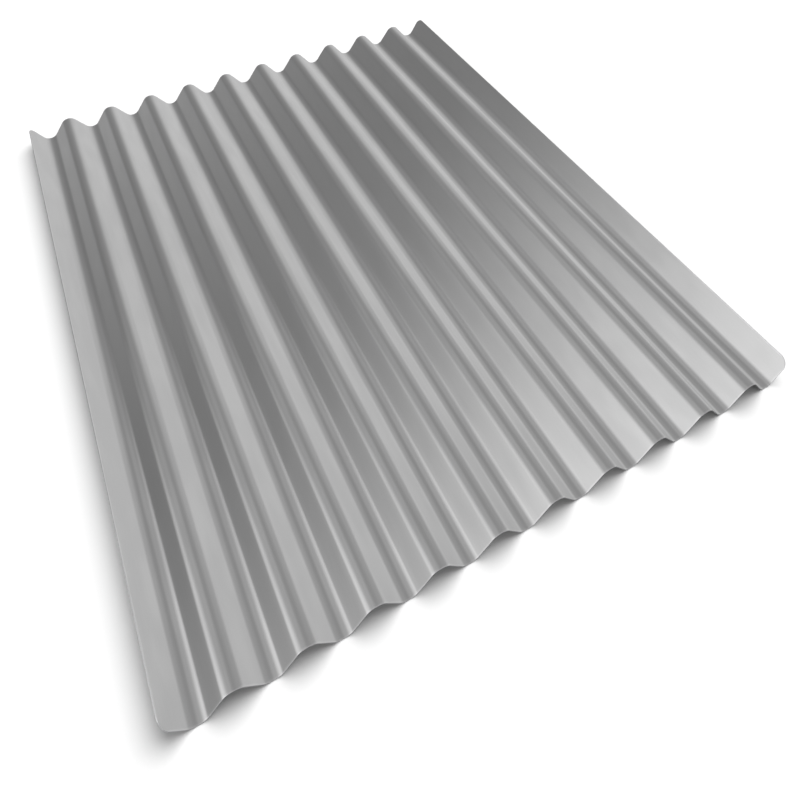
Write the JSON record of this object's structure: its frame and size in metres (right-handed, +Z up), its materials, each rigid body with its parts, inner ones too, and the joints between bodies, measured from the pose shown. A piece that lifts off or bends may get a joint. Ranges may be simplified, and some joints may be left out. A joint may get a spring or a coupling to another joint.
{
  "type": "corrugated metal sheet",
  "caption": "Rectangular corrugated metal sheet lying flat, with deep even waves and both long edges turned up.",
  "frame": {"origin": "middle of the footprint, on the plane that the troughs rest on", "axes": "+Z up, out of the upper face; +Y along the corrugations; +X across them"},
  "size_m": [0.8216, 1, 0.0369],
  "materials": {
    "sheet_metal": "satin bright grey, clean, with no rust or paint"
  },
  "bodies": {
    "root": {"corrugated_sheet": "sheet_metal"}
  },
  "joints": []
}
